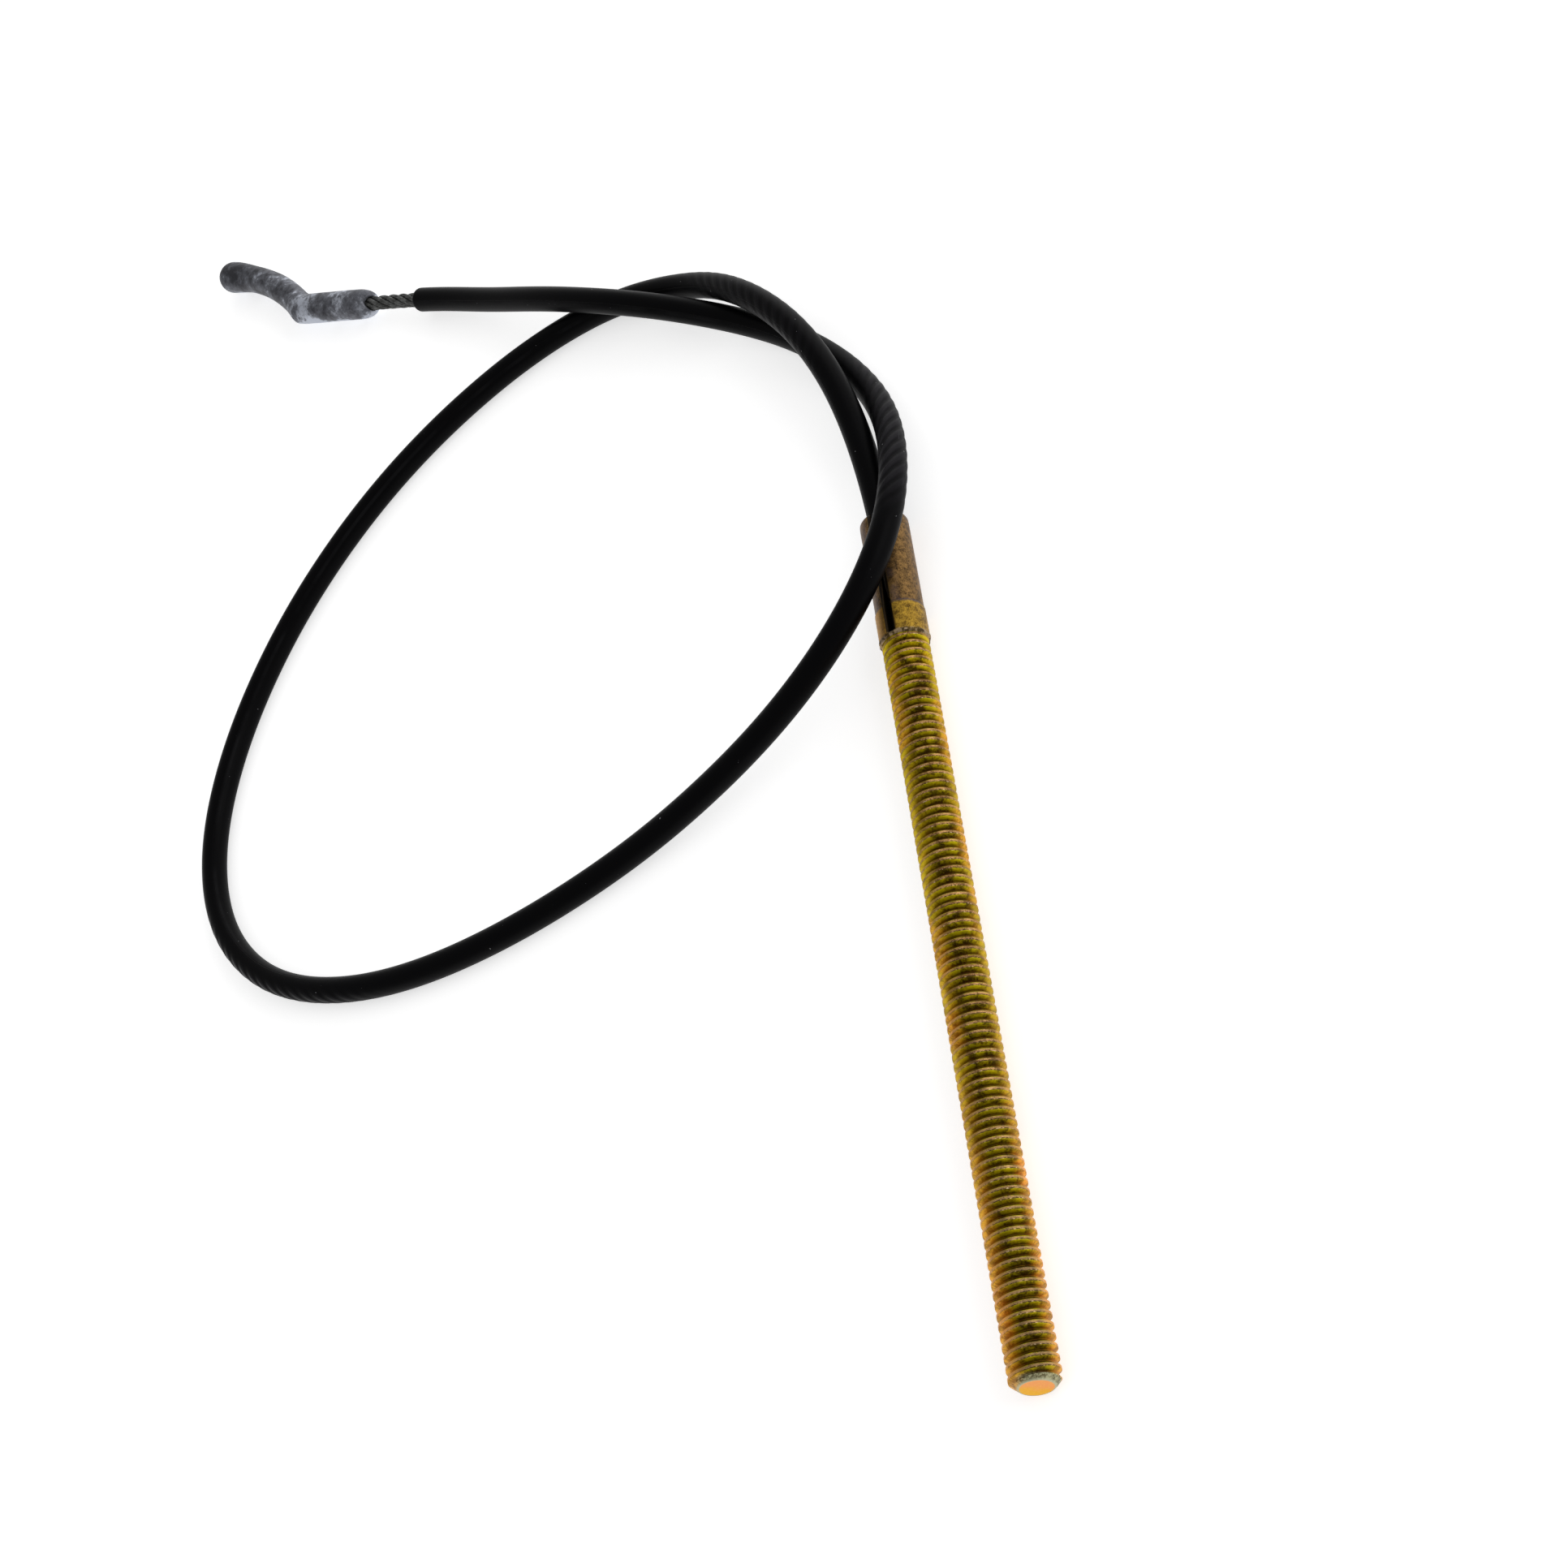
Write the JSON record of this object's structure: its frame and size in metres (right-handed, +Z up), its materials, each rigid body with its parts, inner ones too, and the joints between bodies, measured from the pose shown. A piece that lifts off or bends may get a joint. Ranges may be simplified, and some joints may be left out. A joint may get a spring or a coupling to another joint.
{
  "type": "control cable",
  "caption": "Jacketed wire-rope control cable with a slotted threaded stud at one end and a cast hook at the other, tied in a loose overhand knot.",
  "frame": {"origin": "centre of the stud's free end face, on the thread's axis", "axes": "+Y runs along the stud to the cable, +Z is up; the surface that the cable lies on is at z = -3.375 mm"},
  "size_m": [0.1358, 0.2453, 0.0111],
  "materials": {
    "plated_steel": "yellow chromate over zinc plate, satin",
    "black_vinyl": "extruded vinyl, satin gloss",
    "galvanised_wire": "galvanised stranded wire, dull",
    "cast_zinc": "as-cast zinc alloy, mottled and dull"
  },
  "bodies": {
    "cable": {"threaded_stud": "plated_steel", "cable_jacket": "black_vinyl", "wire_rope": "galvanised_wire"},
    "hook": {"cable_hook": "cast_zinc", "bare_rope": "galvanised_wire"}
  },
  "joints": [
    {"name": "hook_flex", "type": "hinge", "parent": "cable", "child": "hook", "pos_m": [-0.08294, 0.21427, -0.00065], "axis": [0, 0, 1], "range_deg": [-20, 20], "stiffness_Nm_per_rad": 0.05, "deforming": ["bare_rope"]}
  ]
}
